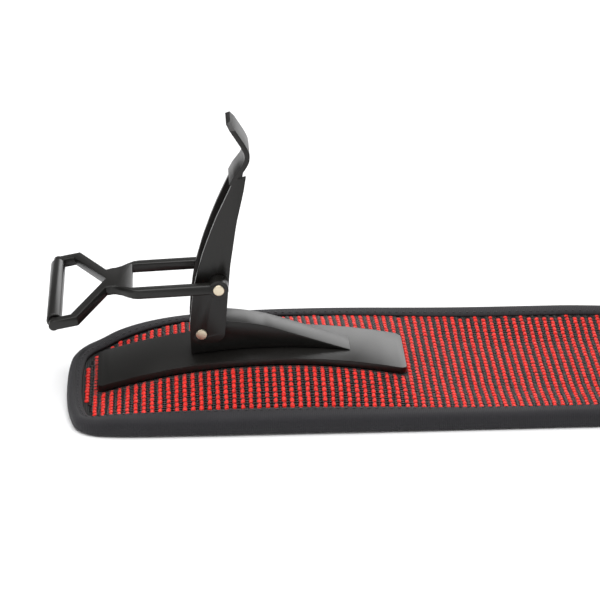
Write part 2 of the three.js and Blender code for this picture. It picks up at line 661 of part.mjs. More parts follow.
function skinPieces() {
  const roll = new THREE.Group();
  roll.position.set(ROLL_X, 0, ROLL_RADIUS);
  roll.add(piece('rolled_length', rolledLength(), 'tape'));
  roll.add(piece('tail_strap', tailStrap(), 'tape'));
  roll.add(piece('tail_hook', tailHook(), 'steel'));
  for (const [name, side] of [['tail_rivet_near', -1], ['tail_rivet_far', 1]]) {
    const rivet = piece(name, tailRivet(), 'nickel');
    rivet.position.y = side * TAIL_RIVET.y;
    roll.add(rivet);
  }
  const skin = new THREE.Group();
  skin.add(piece('sole_fabric', soleFabric(), 'fabric'));
  skin.add(piece('backing_fabric', backingFabric(), 'backing'));
  skin.add(piece('edge_binding', edgeBinding(), 'tape'));
  skin.add(roll);
  return skin;
}

function platePieces() {
  const plates = new THREE.Group();
  plates.add(piece('base_plate', basePlate(), 'satinBlack'));
  plates.add(piece('under_plate', underPlate(), 'steel'));
  plates.add(piece('ramp_block', rampBlock(), 'satinBlack'));
  for (const spot of PLATE_SCREWS) {
    plates.add(piece(spot.name, screw(spot, PLATE_SCREW_HEAD_Z, PLATE_SCREW_TIP_Z), 'steel'));
  }
  for (const spot of BLOCK_SCREWS) {
    plates.add(piece(spot.name, screw(spot, BLOCK_SCREW_HEAD_Z, BLOCK_SCREW_TIP_Z), 'steel'));
  }
  return plates;
}

function leverPieces() {
  const pieces = new THREE.Group();
  pieces.add(piece('lever', lever(), 'satinBlack'));
  const pin = piece('lever_pin', leverPin(), 'nickel');
  pin.position.z = PIVOT_Z;
  pieces.add(pin);
  return pieces;
}

function bailPieces() {
  const bail = new THREE.Group();
  bail.position.set(BAIL_PIVOT.x, 0, BAIL_PIVOT.z);
  bail.add(piece('bail_rivet_near', bailRivet(-1), 'nickel'));
  bail.add(piece('bail_rivet_far', bailRivet(1), 'nickel'));
  const frame = new THREE.Group();
  frame.rotation.y = -rad(BAIL_DROOP);
  frame.add(piece('bail_frame', bailFrame(), 'satinBlack'));
  const sleeve = piece('bar_sleeve', barSleeve(), 'satinBlack');
  sleeve.position.copy(rodCentre());
  frame.add(sleeve);
  bail.add(frame);
  return bail;
}

const climbingSkin = new THREE.Group();
climbingSkin.add(skinPieces(), platePieces(), leverPieces(), bailPieces());

// The front of the box is the sleeve's front and its rear is the roll's.
const rod = rodCentre().applyAxisAngle(new THREE.Vector3(0, 1, 0), -rad(BAIL_DROOP));
const frontX = BAIL_PIVOT.x + rod.x - SLEEVE.outer;
const rearX = ROLL_X + ROLL_RADIUS;
climbingSkin.position.x = -(frontX + rearX) / 2;

export default climbingSkin;
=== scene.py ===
"""A climbing skin with a front tension lever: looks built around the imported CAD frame.

Soft pieces are laid out flat, in plan coordinates (along, across, height) in millimetres with
along = 0 at the lever's pivot, and then placed by one function that follows the plate's arch,
the floor and the roll. Metal pieces are the CAD nodes with rounded edges and better materials.
"""
import json
import math
import random

import bpy
import numpy as np
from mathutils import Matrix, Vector


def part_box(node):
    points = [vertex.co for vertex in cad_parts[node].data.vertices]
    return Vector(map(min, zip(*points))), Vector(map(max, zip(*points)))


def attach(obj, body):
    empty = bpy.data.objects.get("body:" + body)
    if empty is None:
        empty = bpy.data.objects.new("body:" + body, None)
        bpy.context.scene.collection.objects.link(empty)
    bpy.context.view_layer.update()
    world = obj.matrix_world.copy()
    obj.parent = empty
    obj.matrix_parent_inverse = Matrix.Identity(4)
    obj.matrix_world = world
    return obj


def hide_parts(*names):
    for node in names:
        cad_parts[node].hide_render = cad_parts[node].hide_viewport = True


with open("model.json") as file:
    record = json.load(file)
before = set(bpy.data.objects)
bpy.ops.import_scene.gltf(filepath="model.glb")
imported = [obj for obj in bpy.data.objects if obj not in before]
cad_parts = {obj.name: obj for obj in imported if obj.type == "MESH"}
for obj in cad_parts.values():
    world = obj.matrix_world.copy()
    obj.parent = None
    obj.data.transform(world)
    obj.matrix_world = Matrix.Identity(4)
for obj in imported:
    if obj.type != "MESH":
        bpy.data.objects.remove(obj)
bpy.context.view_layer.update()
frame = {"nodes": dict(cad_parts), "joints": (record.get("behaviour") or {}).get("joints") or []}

MM = 0.001

# ---------- places that come from the frame, in millimetres from the lever's pivot ----------

joints = {joint["name"]: joint for joint in frame["joints"]}
PIVOT_X = joints["lever_pivot"]["pos_m"][0] / MM


def node_box(node):
    low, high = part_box(node)
    shift = Vector((PIVOT_X, 0, 0))
    return low / MM - shift, high / MM - shift


plate_low, plate_high = node_box("base_plate")
roll_low, roll_high = node_box("rolled_length")
HALF_WIDTH = 50.0
NOSE = node_box("edge_binding")[0].x
ROLL_X = (roll_low.x + roll_high.x) / 2
ROLL_RADIUS = (roll_high.z - roll_low.z) / 2
PLATE_HALF = plate_high.y

# ---------- driving sizes of the soft pieces ----------

ARCH_RADIUS = 240.0  # of the fabric under the plate
CROWN_X = 29.5  # where the arch is highest
PLATE_THICKNESS = 2.5
CROWN_GAP = 0.8  # between the fabric and the plate at the crown
RISE_X = -38.0  # the arch ends here and at FALL_X
FALL_X = 80.0
NEAR_EDGE_SHARE = 0.03  # how much of the middle's lift each side edge keeps
FAR_EDGE_SHARE = 0.12
EDGE_RISE = 2.0  # how much the fabric is raised toward its side edges
EDGE_RISE_ACROSS = (18, 42)  # where that rise starts and ends, across the skin
EDGE_RISE_ALONG = (-52, -34)  # where it fades in, behind the nose
FADE_X = 150.0  # it fades out again from here to FLAT_END_X
FLAT_END_X = 206.0
BACKING = (0.75, 1.5)  # lowest and highest height of each layer
GROUND = (1.7, 2.85)
SOLE_TOP = 3.0
FABRIC_CROWN = plate_high.z - PLATE_THICKNESS - CROWN_GAP - SOLE_TOP
FABRIC_INSET = 1.8
LAP = 8.0  # how far the tape reaches in from the side edges
NOSE_LAP_LOSS = 2.2  # how much less it reaches in from the tip end
COLUMN_PITCH = 3.24  # between columns of red floats, along the skin
FLOAT_PITCH = 2.8  # between floats in a column, across the skin
COIL_PITCH = 5.6
FIRST_COLUMN = NOSE + LAP - NOSE_LAP_LOSS + 2.4
CORE_RADIUS = 21.6  # underside of the innermost turn


def coil_angle_at(length):
    """Angle turned, in radians, after this length of the roll's spiral."""
    k = COIL_PITCH / (2 * math.pi)
    return (ROLL_RADIUS - math.sqrt(ROLL_RADIUS ** 2 - 2 * k * length)) / k


COIL_TURN = 2 * math.pi * (ROLL_RADIUS - CORE_RADIUS) / COIL_PITCH
COIL_LENGTH = COIL_TURN * (ROLL_RADIUS + CORE_RADIUS) / 2
TAIL = ROLL_X + COIL_LENGTH


def smoothstep(x, low, high):
    t = min(1.0, max(0.0, (x - low) / (high - low)))
    return t * t * (3 - 2 * t)


def arch(x, top):
    return top - (ARCH_RADIUS - math.sqrt(ARCH_RADIUS ** 2 - (x - CROWN_X) ** 2))


def middle_lift(x):
    join_x = RISE_X if x < CROWN_X else FALL_X
    beyond = (x - join_x) * math.copysign(1, join_x - CROWN_X)
    if beyond <= 0:
        return arch(x, FABRIC_CROWN)
    height = arch(join_x, FABRIC_CROWN)
    run = 2 * height * ARCH_RADIUS / abs(join_x - CROWN_X)
    return height * max(0.0, 1 - beyond / run) ** 2


def low_lift(x, y):
    """Lift of the tape's underside."""
    at_edge = FAR_EDGE_SHARE if y > 0 else NEAR_EDGE_SHARE
    side = smoothstep(abs(y), PLATE_HALF, HALF_WIDTH)
    return middle_lift(x) * (1 - (1 - at_edge) * side)


def lift(x, y):
    """Lift of the fabric: the underside's lift and the rise toward the side edges."""
    stretch = smoothstep(x, *EDGE_RISE_ALONG) * (1 - smoothstep(x, FADE_X, FLAT_END_X))
    return low_lift(x, y) + EDGE_RISE * smoothstep(abs(y), *EDGE_RISE_ACROSS) * stretch


def lap_at(inward):
    """How far the tape reaches in, where the edge faces this way."""
    return LAP - NOSE_LAP_LOSS * abs(inward.x)


def place(along, across, height, raised=lift):
    """Plan coordinates to metres in the row frame: flat stretch first, then the roll."""
    if along <= ROLL_X:
        x, z = along, raised(along, across) + height
    else:
        angle = coil_angle_at(min(along, TAIL) - ROLL_X)
        radius = ROLL_RADIUS - COIL_PITCH * angle / (2 * math.pi) - height
        past = max(0.0, along - TAIL)
        x = ROLL_X + radius * math.sin(angle) + past * math.cos(angle)
        z = ROLL_RADIUS - radius * math.cos(angle) + past * math.sin(angle)
    return ((x + PIVOT_X) * MM, across * MM, z * MM)


# ---------- mesh helpers ----------

def make_object(name, points, faces, material, uvs=None, smooth=True):
    mesh = bpy.data.meshes.new(name)
    mesh.from_pydata(points, [], faces)
    mesh.validate()
    if uvs is not None:
        layer = mesh.uv_layers.new(name="UVMap")
        loop_points = np.zeros(len(mesh.loops), np.int32)
        mesh.loops.foreach_get("vertex_index", loop_points)
        layer.data.foreach_set("uv", np.array(uvs, np.float32)[loop_points].ravel())
    if smooth:
        mesh.polygons.foreach_set("use_smooth", [True] * len(mesh.polygons))
    mesh.materials.append(material)
    obj = bpy.data.objects.new(name, mesh)
    bpy.context.scene.collection.objects.link(obj)
    return obj


def grid_faces(rows, columns, close_rows=False):
    """Quads between rings of points. Each ring has the same number of columns."""
    faces = []
    for i in range(rows if close_rows else rows - 1):
        for j in range(columns):
            k = (i + 1) % rows
            m = (j + 1) % columns
            faces.append((i * columns + j, i * columns + m, k * columns + m, k * columns + j))
    return faces


def catmull_rom(points, step):
    """A smooth line through points, sampled about every step."""
    points = [Vector(p) for p in points]
    padded = [2 * points[0] - points[1], *points, 2 * points[-1] - points[-2]]
    line = []
    for i in range(1, len(padded) - 2):
        p0, p1, p2, p3 = padded[i - 1:i + 3]
        times = [0.0]
        for a, b in ((p0, p1), (p1, p2), (p2, p3)):
            times.append(times[-1] + max((b - a).length, 1e-6) ** 0.5)
        count = max(2, round((p2 - p1).length / step))
        for n in range(count):
            t = times[1] + (times[2] - times[1]) * n / count
            a1 = p0.lerp(p1, (t - times[0]) / (times[1] - times[0]))
            a2 = p1.lerp(p2, (t - times[1]) / (times[2] - times[1]))
            a3 = p2.lerp(p3, (t - times[2]) / (times[3] - times[2]))
            b1 = a1.lerp(a2, (t - times[0]) / (times[2] - times[0]))
            b2 = a2.lerp(a3, (t - times[1]) / (times[3] - times[1]))
            line.append(b1.lerp(b2, (t - times[1]) / (times[2] - times[1])))
    line.append(points[-1])
    return line


# ---------- outline of the skin in plan ----------

NOSE_END = 120  # the sides are straight from here to the tail
NOSE_POINTS = [
    (NOSE_END, 50), (46, 50), (20, 49), (-6, 45.6), (-27, 37.8), (-41, 30.4), (-47.5, 25.2), (-52, 17.5),
    (NOSE + 0.6, 8), (NOSE, -6), (NOSE + 0.3, -22), (-52.6, -34), (-50, -42.2), (-44, -47), (-34, -48.8),
    (-6, -49.7), (46, -50), (NOSE_END, -50),
]
TAIL_CORNER = 8.0  # radius
TAIL_CORNER_STEPS = 6
OUTLINE_STEP = 2.0


def outline(step):
    """The skin's edge in plan, as a closed loop: tail, far side, nose, near side."""
    far = [Vector((TAIL, 0, 0)), Vector((TAIL, HALF_WIDTH - TAIL_CORNER, 0))]
    for n in range(1, TAIL_CORNER_STEPS):
        turn = math.pi / 2 * n / TAIL_CORNER_STEPS
        far.append(Vector((TAIL - TAIL_CORNER * (1 - math.cos(turn)),
                           HALF_WIDTH - TAIL_CORNER * (1 - math.sin(turn)), 0)))
    straight = TAIL - TAIL_CORNER - NOSE_END
    count = round(straight / (2 * step))
    far += [Vector((TAIL - TAIL_CORNER - straight * n / count, HALF_WIDTH, 0)) for n in range(count)]
    nose = catmull_rom([(x, y, 0) for x, y in NOSE_POINTS], step)
    near = [Vector((p.x, -p.y, 0)) for p in reversed(far[1:])]
    return far + nose + near


def with_inward(line):
    """Each point of a closed line with its inward direction and its distance along the line."""
    found = []
    distance = 0.0
    for i, point in enumerate(line):
        before = line[i - 1]
        after = line[(i + 1) % len(line)]
        along = (after - before).normalized()
        if i:
            distance += (point - before).length
        found.append((point, Vector((-along.y, along.x, 0)), distance))
    return found


EDGE = with_inward(outline(OUTLINE_STEP))
STRAIGHT_FROM = NOSE_END - 2  # beyond this the half widths need no search
EDGE_NOSE = [item for item in EDGE if item[0].x < NOSE_END + 10]


def half_widths(along, inset):
    """Near and far limits of the fabric at this distance along the skin."""
    if along > STRAIGHT_FROM:
        return inset - HALF_WIDTH, HALF_WIDTH - inset
    shifted = [p + inward * inset for p, inward, _ in EDGE_NOSE]
    crossings = []
    for a, b in zip(shifted, shifted[1:]):
        if (a.x - along) * (b.x - along) <= 0 and a.x != b.x:
            crossings.append(a.y + (b.y - a.y) * (along - a.x) / (b.x - a.x))
    return (min(crossings), max(crossings)) if crossings else (0.0, 0.0)


# ---------- materials ----------


def new_material(name):
    material = bpy.data.materials.new(name)
    material.use_nodes = True
    nodes = material.node_tree.nodes
    return material, nodes, material.node_tree.links, nodes["Principled BSDF"]


def mix_colors(nodes, links, factor, low, high):
    ramp = nodes.new("ShaderNodeValToRGB")
    ramp.color_ramp.elements[0].color = (*low, 1)
    ramp.color_ramp.elements[1].color = (*high, 1)
    links.new(factor, ramp.inputs["Fac"])
    return ramp


def add_noise(nodes, links, scale, detail):
    noise = nodes.new("ShaderNodeTexNoise")
    noise.inputs["Scale"].default_value = scale
    noise.inputs["Detail"].default_value = detail
    vector = nodes.new("ShaderNodeTexCoord").outputs["Object"]
    links.new(vector, noise.inputs["Vector"])
    return noise


def add_bump(nodes, links, height, shader, strength, distance):
    bump = nodes.new("ShaderNodeBump")
    bump.inputs["Strength"].default_value = strength
    bump.inputs["Distance"].default_value = distance
    links.new(height, bump.inputs["Height"])
    links.new(bump.outputs["Normal"], shader.inputs["Normal"])


WAVE_PER_UNIT = math.pi / 10  # the wave texture's scale that gives one band per unit


def uv_waves(nodes, links, per_metre, axis):
    """Fine ribs across one UV axis. UVs are in metres."""
    coordinates = nodes.new("ShaderNodeTexCoord")
    mapping = nodes.new("ShaderNodeMapping")
    mapping.inputs["Scale"].default_value = (per_metre, per_metre, per_metre)
    links.new(coordinates.outputs["UV"], mapping.inputs["Vector"])
    wave = nodes.new("ShaderNodeTexWave")
    wave.bands_direction = axis
    wave.inputs["Scale"].default_value = WAVE_PER_UNIT
    wave.inputs["Distortion"].default_value = 0.6
    wave.inputs["Detail"].default_value = 1.0
    links.new(mapping.outputs["Vector"], wave.inputs["Vector"])
    return wave


def red_yarn():
    material, nodes, links, shader = new_material("red_yarn")
    noise = add_noise(nodes, links, 900, 4)
    ramp = mix_colors(nodes, links, noise.outputs["Fac"], (0.60, 0.010, 0.008), (1.0, 0.034, 0.022))
    ramp.color_ramp.elements[0].position = 0.32
    ramp.color_ramp.elements[1].position = 0.62
    links.new(ramp.outputs["Color"], shader.inputs["Base Color"])
    shader.inputs["Roughness"].default_value = 0.42
    shader.inputs["Specular IOR Level"].default_value = 0.35
    shader.inputs["Sheen Weight"].default_value = 0.1
    shader.inputs["Sheen Tint"].default_value = (1, 0.5, 0.45, 1)
    strands = uv_waves(nodes, links, 1 / (0.55 * MM), "Y")
    add_bump(nodes, links, strands.outputs["Fac"], shader, 0.7, 0.00025)
    return material


def black_yarn():
    material, nodes, links, shader = new_material("black_yarn")
    noise = add_noise(nodes, links, 700, 4)
    ramp = mix_colors(nodes, links, noise.outputs["Fac"], (0.002, 0.0022, 0.0022), (0.018, 0.019, 0.019))
    links.new(ramp.outputs["Color"], shader.inputs["Base Color"])
    shader.inputs["Roughness"].default_value = 0.3
    twist = uv_waves(nodes, links, 1 / (0.5 * MM), "DIAGONAL")
    add_bump(nodes, links, twist.outputs["Fac"], shader, 0.6, 0.0002)
    return material


def ground_weave():
    material, nodes, links, shader = new_material("ground_weave")
    waves = [uv_waves(nodes, links, 1 / (0.8 * MM), axis) for axis in ("X", "Y")]
    weave = nodes.new("ShaderNodeMath")
    weave.operation = "MULTIPLY"
    links.new(waves[0].outputs["Fac"], weave.inputs[0])
    links.new(waves[1].outputs["Fac"], weave.inputs[1])
    ramp = mix_colors(nodes, links, weave.outputs[0], (0.001, 0.001, 0.001), (0.005, 0.005, 0.005))
    links.new(ramp.outputs["Color"], shader.inputs["Base Color"])
    shader.inputs["Roughness"].default_value = 0.7
    add_bump(nodes, links, weave.outputs[0], shader, 0.8, 0.0003)
    return material


def binding_tape():
    material, nodes, links, shader = new_material("binding_tape")
    ribs = uv_waves(nodes, links, 1 / (0.75 * MM), "X")
    picks = uv_waves(nodes, links, 1 / (0.5 * MM), "Y")
    weave = nodes.new("ShaderNodeMath")
    weave.operation = "MULTIPLY_ADD"
    weave.inputs[1].default_value = 0.35
    links.new(picks.outputs["Fac"], weave.inputs[0])
    links.new(ribs.outputs["Fac"], weave.inputs[2])
    noise = add_noise(nodes, links, 60, 5)
    ramp = mix_colors(nodes, links, noise.outputs["Fac"], (0.006, 0.0055, 0.0075), (0.013, 0.012, 0.0155))
    links.new(ramp.outputs["Color"], shader.inputs["Base Color"])
    shader.inputs["Roughness"].default_value = 0.82
    shader.inputs["Sheen Weight"].default_value = 0.08
    shader.inputs["Sheen Roughness"].default_value = 0.5
    add_bump(nodes, links, weave.outputs[0], shader, 0.45, 0.00025)
    return material


def stitch_thread():
    material, nodes, links, shader = new_material("stitch_thread")
    noise = add_noise(nodes, links, 400, 2)
    ramp = mix_colors(nodes, links, noise.outputs["Fac"], (0.006, 0.006, 0.007), (0.05, 0.048, 0.052))
    links.new(ramp.outputs["Color"], shader.inputs["Base Color"])
    shader.inputs["Roughness"].default_value = 0.6
    return material


def backing_film_material():
    material, nodes, links, shader = new_material("backing_film")
    noise = add_noise(nodes, links, 120, 4)
    ramp = mix_colors(nodes, links, noise.outputs["Fac"], (0.010, 0.010, 0.011), (0.022, 0.022, 0.024))
    links.new(ramp.outputs["Color"], shader.inputs["Base Color"])
    shader.inputs["Roughness"].default_value = 0.45
    dimples = uv_waves(nodes, links, 1 / (1.2 * MM), "DIAGONAL")
    add_bump(nodes, links, dimples.outputs["Fac"], shader, 0.25, 0.0002)
    return material


def satin_black():
    material, nodes, links, shader = new_material("satin_black")
    noise = add_noise(nodes, links, 45, 5)
    ramp = mix_colors(nodes, links, noise.outputs["Fac"], (0.006, 0.0056, 0.005), (0.010, 0.0094, 0.0084))
    links.new(ramp.outputs["Color"], shader.inputs["Base Color"])
    shader.inputs["Metallic"].default_value = 0.0
    shader.inputs["IOR"].default_value = 1.42
    grain = add_noise(nodes, links, 2600, 2)
    spread = nodes.new("ShaderNodeMapRange")
    spread.inputs["To Min"].default_value = 0.26
    spread.inputs["To Max"].default_value = 0.38
    links.new(noise.outputs["Fac"], spread.inputs["Value"])
    links.new(spread.outputs["Result"], shader.inputs["Roughness"])
    add_bump(nodes, links, grain.outputs["Fac"], shader, 0.12, 0.0001)
    return material


def metal(name, low, high, roughness, grain_scale):
    material, nodes, links, shader = new_material(name)
    noise = add_noise(nodes, links, grain_scale, 4)
    ramp = mix_colors(nodes, links, noise.outputs["Fac"], low, high)
    links.new(ramp.outputs["Color"], shader.inputs["Base Color"])
    shader.inputs["Metallic"].default_value = 1.0
    shader.inputs["Roughness"].default_value = roughness
    add_bump(nodes, links, noise.outputs["Fac"], shader, 0.08, 0.0001)
    return material


def floor_material():
    material, nodes, links, shader = new_material("pale_floor")
    noise = add_noise(nodes, links, 6, 2)
    ramp = mix_colors(nodes, links, noise.outputs["Fac"], (0.88, 0.88, 0.885), (0.90, 0.90, 0.905))
    links.new(ramp.outputs["Color"], shader.inputs["Base Color"])
    shader.inputs["Roughness"].default_value = 0.9
    shader.inputs["Specular IOR Level"].default_value = 0.1
    return material


RED_YARN = red_yarn()
BLACK_YARN = black_yarn()
GROUND_WEAVE = ground_weave()
BINDING_TAPE = binding_tape()
STITCH_THREAD = stitch_thread()
BACKING_FILM = backing_film_material()
SATIN_BLACK = satin_black()
NICKEL = metal("warm_nickel", (0.62, 0.54, 0.40), (0.78, 0.70, 0.54), 0.36, 800)
STEEL = metal("stainless_steel", (0.42, 0.42, 0.43), (0.56, 0.56, 0.57), 0.3, 600)


# ---------- soft pieces ----------

def layer_stations():
    """Distances along the skin where the fabric layers have a row of points."""
    first = NOSE + FABRIC_INSET + 0.3
    nose_steps = (0, 0.6, 1.4, 2.5, 4, 6, 9, 12)  # closer where the outline curves most
    flat_step = 3.0
    coil_step = 0.09  # radians
    stations = [first + step for step in nose_steps]
    stations += list(np.arange(first + nose_steps[-1] + flat_step, ROLL_X, flat_step))
    turn = 0.0
    while turn < COIL_TURN:
        stations.append(ROLL_X + turn * (ROLL_RADIUS - COIL_PITCH * turn / (4 * math.pi)))
        turn += coil_step
    stations.append(TAIL - FABRIC_INSET)
    return stations


def fabric_layer(name, heights, material, columns=24):
    """A thin closed sheet over the whole length, between two heights."""
    low, high = heights
    rows = []
    uvs = []
    stations = layer_stations()
    for along in stations:
        near, far = half_widths(along, FABRIC_INSET)
        across = np.linspace(near, far, columns)
        rows += [place(along, y, low) for y in across[::-1]]
        rows += [place(along, y, high) for y in across]
        uvs += [(along * MM, y * MM) for y in across[::-1]]
        uvs += [(along * MM, y * MM) for y in across]
    count = 2 * columns
    faces = grid_faces(len(stations), count)
    last = (len(stations) - 1) * count
    faces.append(tuple(range(count - 1, -1, -1)))
    faces.append(tuple(last + k for k in range(count)))
    return make_object(name, rows, faces, material, uvs)


def tape_section(lap):
    """Inset and height round the binding: its low points, then its rim, top and channel."""
    top = SOLE_TOP + 0.25
    low = [(lap + 0.05, 0.35), (lap - 0.3, 0.0), (1.6, 0.0), (0.75, 0.18), (0.2, 0.8)]
    high = [(0.0, 1.8), (0.0, 3.0), (0.25, 4.0), (0.9, 4.75), (1.9, 5.1), (3.1, 5.12), (lap - 3, 5.0),
            (lap - 1.8, 4.85), (lap - 0.8, 4.6), (lap, 4.2), (lap + 0.1, top), (1.5, top),
            (1.4, 0.7), (lap, 0.7)]
    return low, high


def edge_tape():
    low, high = tape_section(LAP)
    section = low + high
    lengths = [0.0]
    for a, b in zip(section, section[1:]):
        lengths.append(lengths[-1] + math.dist(a, b))
    points = []
    uvs = []
    for point, inward, distance in EDGE:
        low, high = tape_section(lap_at(inward))
        for group, raised in ((low, low_lift), (high, lift)):
            for inset, height in group:
                spot = point + inward * inset
                points.append(place(spot.x, spot.y, height, raised))
        uvs += [(distance * MM, across * MM) for across in lengths]
    faces = grid_faces(len(EDGE), len(section), close_rows=True)
    return make_object("edge_tape", points, faces, BINDING_TAPE, uvs)


YARN_SIDES = 6
YARN_END_SHARE = 0.45  # of the radius, at a yarn's two ends


def tube_points(path, radius, sides, side_vector):
    """Rings of points round a path, in metres. side_vector is roughly across the path."""
    rings = []
    for i, point in enumerate(path):
        ahead = Vector(path[min(i + 1, len(path) - 1)]) - Vector(path[max(i - 1, 0)])
        along = ahead.normalized()
        up = along.cross(Vector(side_vector)).normalized()
        side = up.cross(along).normalized()
        for n in range(sides):
            turn = 2 * math.pi * n / sides
            rings.append(Vector(point) + (side * math.cos(turn) + up * math.sin(turn)) * radius)
    return rings


def add_tube(store, path, radius, side_vector=(0, 1, 0)):
    """Adds a closed yarn with narrowed ends to a store of points, faces and UVs."""
    points, faces, uvs = store
    sides = YARN_SIDES
    start = len(points)
    rings = tube_points(path, radius, sides, side_vector)
    count = len(path)
    for end in (0, count - 1):
        centre = Vector(path[end])
        for n in range(sides):
            k = end * sides + n
            rings[k] = centre + (rings[k] - centre) * YARN_END_SHARE
    points += [tuple(p) for p in rings]
    distance = 0.0
    for i in range(count):
        if i:
            distance += (Vector(path[i]) - Vector(path[i - 1])).length
        uvs += [(distance, 2 * radius * math.pi * n / sides) for n in range(sides)]
    faces += [tuple(start + k for k in face) for face in grid_faces(count, sides)]
    faces.append(tuple(start + n for n in range(sides - 1, -1, -1)))
    faces.append(tuple(start + (count - 1) * sides + n for n in range(sides)))


def stitches():
    """Short stitches that hold the tape near its inner edge, over the flat stretch."""
    store = ([], [], [])
    inset = 1.5  # from the tape's inner edge
    height = 4.85
    dip = 0.25  # of each stitch's ends into the tape
    bulge = 0.12
    radius = 0.26
    pitch = 3.0
    length = 2.1
    short_of_roll = 4
    longest_segment = 10  # a longer one is the gap between the two sides
    walked = 0.0
    line = [p + inward * (lap_at(inward) - inset) for p, inward, _ in EDGE if p.x < ROLL_X - short_of_roll]
    for a, b in zip(line, line[1:]):
        segment = (b - a).length
        if segment > longest_segment:
            walked = 0.0
            continue
        while walked < segment:
            begin = a.lerp(b, walked / segment)
            direction = (b - a).normalized()
            end = begin + direction * length
            middle = (begin + end) / 2
            path = [place(begin.x, begin.y, height - dip), place(middle.x, middle.y, height + bulge),
                    place(end.x, end.y, height - dip)]
            add_tube(store, path, radius * MM, (direction.y, -direction.x, 0))
            walked += pitch
        walked -= segment
    return make_object("tape_stitches", store[0], store[1], STITCH_THREAD, store[2])


def under_the_plate(along, across, margin):
    inside = plate_low.x - margin < along < plate_high.x + margin
    return inside and abs(across) < PLATE_HALF + margin


FLOAT_SIDES = 10
FLOAT_RINGS = ((1.0, 0.0), (0.97, 0.35), (0.8, 0.72), (0.45, 0.95))  # size and level, foot to top
FLOAT_SQUARENESS = 0.75  # 1 is an ellipse, less is squarer
FLOAT_SINK = 0.25  # of each float's foot into the ground
FLOAT_HALF_LONG = 0.98
FLOAT_HALF_WIDE = 1.28
FLOAT_RISE = 1.0
FLOAT_RISE_SQUEEZED = 0.45  # beside the plate, which holds the fabric down
FLOAT_LEAN = 0.1
FLOATS_INTO_ROLL = 24  # how far past the roll's first line of contact they go on


def add_float(store, centre, across, half_long, half_wide, rise, lean):
    """Adds one closed pillow to a store of points, faces and UVs."""
    points, faces, uvs = store
    around = FLOAT_SIDES
    foot = GROUND[1] - FLOAT_SINK
    start = len(points)
    for size, level in FLOAT_RINGS:
        for n in range(around):
            turn = 2 * math.pi * n / around
            c, s = math.cos(turn), math.sin(turn)
            u = half_long * size * math.copysign(abs(c) ** FLOAT_SQUARENESS, c)
            v = half_wide * size * math.copysign(abs(s) ** FLOAT_SQUARENESS, s)
            points.append(place(centre + u, across + v + lean * u, foot + level * rise))
            uvs.append((u * MM, v * MM))
    points.append(place(centre, across, foot + rise * 1.02))
    uvs.append((0.0, 0.0))
    apex = start + len(FLOAT_RINGS) * around
    top = apex - around
    faces += [tuple(start + q for q in face) for face in grid_faces(len(FLOAT_RINGS), around)]
    faces += [(top + n, top + (n + 1) % around, apex) for n in range(around)]
    faces.append(tuple(start + n for n in range(around - 1, -1, -1)))


def red_floats():
    """Rows of pillow-shaped floats, in columns across the skin."""
    rng = random.Random(7)
    store = ([], [], [])
    clear = 0.3  # of the tape's inner edge
    along = FIRST_COLUMN
    while along < ROLL_X + FLOATS_INTO_ROLL:
        near, far = half_widths(along, LAP - clear)
        slide = rng.uniform(-0.2, 0.2)
        first = math.ceil((near - clear) / FLOAT_PITCH)
        last = math.floor((far + clear) / FLOAT_PITCH)
        for k in range(first, last + 1):
            across = k * FLOAT_PITCH + slide + rng.uniform(-0.1, 0.1)
            hidden = under_the_plate(along, across, -1.6)
            if across < near + clear or across > far - clear or hidden:
                continue
            squeezed = under_the_plate(along, across, 1.2)
            half_long = FLOAT_HALF_LONG + rng.uniform(-0.08, 0.08)
            half_wide = FLOAT_HALF_WIDE + rng.uniform(-0.1, 0.06)
            rise = FLOAT_RISE_SQUEEZED if squeezed else FLOAT_RISE + rng.uniform(-0.12, 0.12)
            lean = rng.uniform(-0.16, 0.16) + FLOAT_LEAN
            centre = along + rng.uniform(-0.1, 0.1)
            add_float(store, centre, across, half_long, half_wide, rise, lean)
        along += COLUMN_PITCH
    return make_object("red_floats", store[0], store[1], RED_YARN, store[2])


WARP_RADIUS = 0.36
WARP_HEIGHT = GROUND[1] + 0.1
WARP_WAVE = 0.32  # half the rise and fall
WARP_SWAY = 0.12
WARP_INTO_ROLL = 20
FEWEST_WARP_POINTS = 4


def warp_height(along, offset, phase):
    if under_the_plate(along, offset, 1.0):
        return GROUND[1] - 0.1
    return WARP_HEIGHT - WARP_WAVE * math.cos(phase)


def black_warp():
    """Black yarns along the skin, high between the columns of floats and low under them."""
    rng = random.Random(11)
    store = ([], [], [])
    spacing = FLOAT_PITCH / 2
    step = COLUMN_PITCH / 4
    clear = 0.2  # of the tape's inner edge
    lanes = int(HALF_WIDTH / spacing) + 1
    for lane in range(-lanes, lanes + 1):
        offset = lane * spacing + rng.uniform(-0.1, 0.1)
        stretches = [[]]
        along = NOSE + LAP - NOSE_LAP_LOSS - 0.5
        while along < ROLL_X + WARP_INTO_ROLL:
            near, far = half_widths(along, LAP - clear)
            inside = near + clear < offset < far - clear
            if inside and not under_the_plate(along, offset, -1.0):
                phase = 2 * math.pi * (along - FIRST_COLUMN) / COLUMN_PITCH
                sway = WARP_SWAY * math.sin(phase / 2 + lane)
                stretches[-1].append(place(along, offset + sway, warp_height(along, offset, phase)))
            elif stretches[-1]:
                stretches.append([])
            along += step
        for path in stretches:
            if len(path) >= FEWEST_WARP_POINTS:
                add_tube(store, path, WARP_RADIUS * MM)
    return make_object("black_warp", store[0], store[1], BLACK_YARN, store[2])


STRAP_INNER, STRAP_OUTER = 13.6, 15.7  # radii of its curl
STRAP_START, STRAP_END = -80, 150  # degrees
STRAP_EDGE = (0.5, 0.6)  # how far its rounded edges reach in, and down


